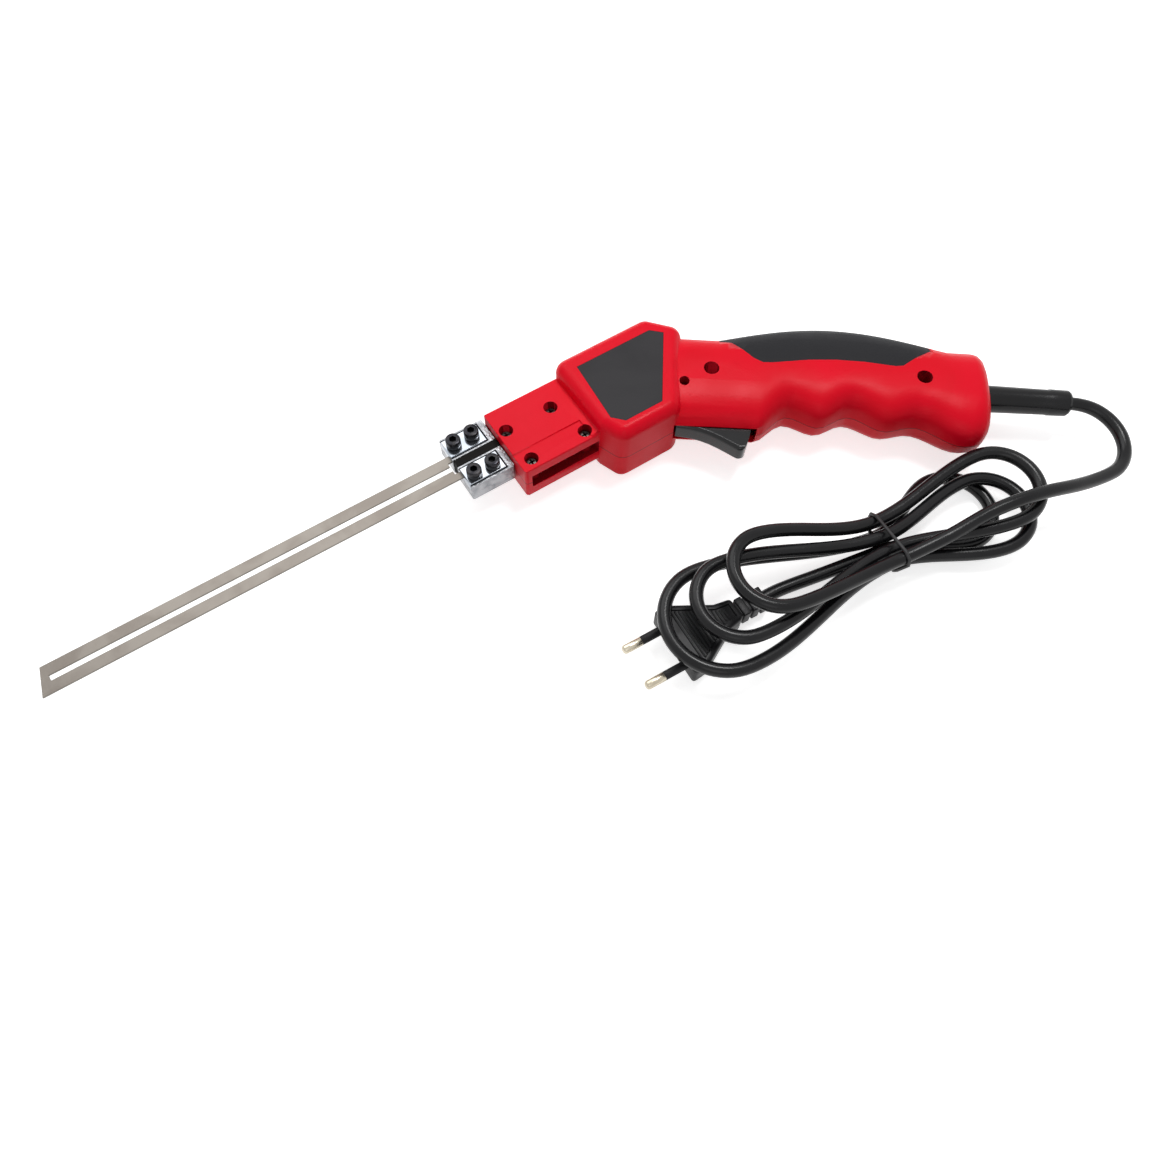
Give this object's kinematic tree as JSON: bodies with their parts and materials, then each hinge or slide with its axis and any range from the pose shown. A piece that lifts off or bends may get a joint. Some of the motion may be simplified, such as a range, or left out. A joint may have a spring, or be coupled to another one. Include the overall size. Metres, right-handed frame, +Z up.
{
  "type": "electric hot knife",
  "caption": "Pistol-grip electric hot knife for cutting foam: red housing, finger-grooved handle, trigger, clamped U-shaped heated blade and a tied mains cord with plug.",
  "frame": {"origin": "on the flat side the tool rests on, below the blade line at the middle of the transformer housing", "axes": "+X along the blade towards the handle, +Y towards the back of the tool, +Z up from the rest face"},
  "size_m": [0.4561, 0.1794, 0.035],
  "materials": {
    "casing": "satin moulded",
    "panel": "fine grain",
    "grip_rubber": "matte grain",
    "screw_steel": "plain",
    "trigger": "satin",
    "inner_plastic": "plain",
    "contact_brass": "plain",
    "core_iron": "laminated",
    "bobbin_plastic": "plain",
    "copper": "plain copper",
    "insulator": "pressed board",
    "plated_metal": "bright plated",
    "clamp_screw": "blackened",
    "blade_steel": "worn, brushed along its length",
    "cord_black": "smooth",
    "wire_jacket": "plain",
    "tie": "coated wire",
    "plug_black": "moulded",
    "pin_metal": "plated"
  },
  "bodies": {
    "tool": {"left_casing": "casing", "right_casing": "casing", "side_panel": "panel", "left_grip_pad": "grip_rubber", "right_grip_pad": "grip_rubber", "casing_screws": "screw_steel", "trigger_pin": "screw_steel", "trigger_spring": "screw_steel", "switch_body": "inner_plastic", "switch_terminals": "contact_brass", "transformer_core": "core_iron", "coil_bobbin": "bobbin_plastic", "primary_coil": "copper", "secondary_strap": "copper", "upper_bus_bar": "copper", "lower_bus_bar": "copper", "bus_insulator": "insulator", "upper_clamp_block": "plated_metal", "lower_clamp_block": "plated_metal", "upper_clamp_plate": "plated_metal", "lower_clamp_plate": "plated_metal", "cord_sleeve": "cord_black", "inner_cord": "cord_black", "cord_clamp": "inner_plastic", "cord_clamp_screws": "screw_steel", "mains_wires": "wire_jacket", "coil_wires": "wire_jacket", "cord_lead": "cord_black", "cord_hank": "cord_black", "cord_tie": "tie", "plug_body": "plug_black", "plug_relief": "plug_black", "plug_pins": "pin_metal", "pin_sleeves": "plug_black"},
    "trigger_body": {"trigger": "trigger"},
    "plunger_body": {"switch_plunger": "inner_plastic"},
    "clamp_screw_1_body": {"clamp_screw_1": "clamp_screw"},
    "clamp_screw_2_body": {"clamp_screw_2": "clamp_screw"},
    "clamp_screw_3_body": {"clamp_screw_3": "clamp_screw"},
    "clamp_screw_4_body": {"clamp_screw_4": "clamp_screw"},
    "blade_body": {"blade": "blade_steel"}
  },
  "joints": [
    {"name": "trigger_pull", "type": "hinge", "parent": "tool", "child": "trigger_body", "pos_m": [0.01863, -0.0233, 0.0175], "axis": [0, 0, 1], "range_deg": [0, 8], "stiffness_Nm_per_rad": 0.6, "springref_deg": -5.73, "deforming": ["trigger_spring"]},
    {"name": "plunger_press", "type": "slide", "parent": "tool", "child": "plunger_body", "axis": [0.6018, 0.7986, 0], "range_m": [0, 0.0029]},
    {"name": "clamp_screw_1_out", "type": "slide", "parent": "tool", "child": "clamp_screw_1_body", "axis": [0, 0, 1], "range_m": [0, 0.004]},
    {"name": "clamp_screw_2_out", "type": "slide", "parent": "tool", "child": "clamp_screw_2_body", "axis": [0, 0, 1], "range_m": [0, 0.004]},
    {"name": "clamp_screw_3_out", "type": "slide", "parent": "tool", "child": "clamp_screw_3_body", "axis": [0, 0, 1], "range_m": [0, 0.004]},
    {"name": "clamp_screw_4_out", "type": "slide", "parent": "tool", "child": "clamp_screw_4_body", "axis": [0, 0, 1], "range_m": [0, 0.004]},
    {"name": "blade_out", "type": "slide", "parent": "tool", "child": "blade_body", "axis": [-1, 0, 0], "range_m": [0, 0.03]}
  ],
  "couplings": [
    {"joint": "plunger_press", "follows": "trigger_pull", "m_per_rad": 0.0206}
  ]
}
